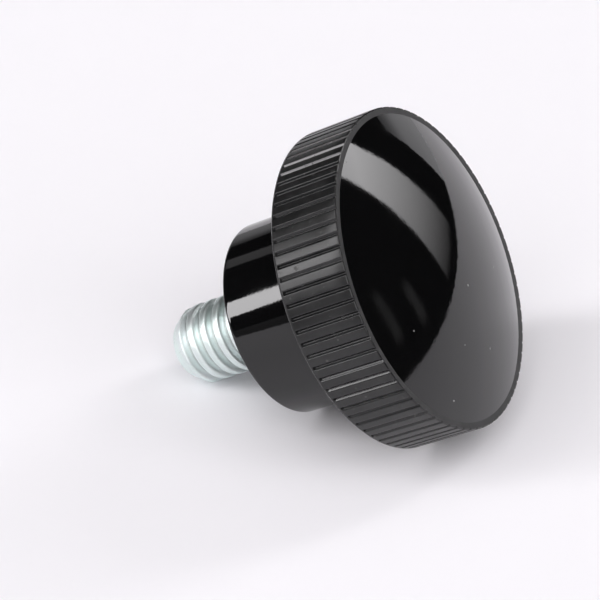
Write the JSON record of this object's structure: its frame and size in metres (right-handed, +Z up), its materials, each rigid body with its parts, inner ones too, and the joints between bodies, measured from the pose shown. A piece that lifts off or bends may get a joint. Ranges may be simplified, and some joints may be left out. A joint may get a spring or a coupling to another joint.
{
  "type": "knurled knob",
  "caption": "Round black hand knob with a straight-knurled rim, a shallow domed face, a plain hub and a short threaded steel stud, lying on its side.",
  "frame": {"origin": "on the floor, under the centre of the part's box as it lies", "axes": "+Z is up from the floor. The knob's axis lies in the XZ plane and leans up towards +X by 30.25 degrees, so the dome faces +X and up, and the stud points to -X and down. Y runs across the knob."},
  "size_m": [0.0276, 0.0254, 0.0248],
  "materials": {
    "black_moulding": "glossy on the dome and hub, satin on the knurled rim",
    "zinc_steel": "bright zinc plate"
  },
  "bodies": {
    "root": {"knob_moulding": "black_moulding", "threaded_stud": "zinc_steel"}
  },
  "joints": []
}
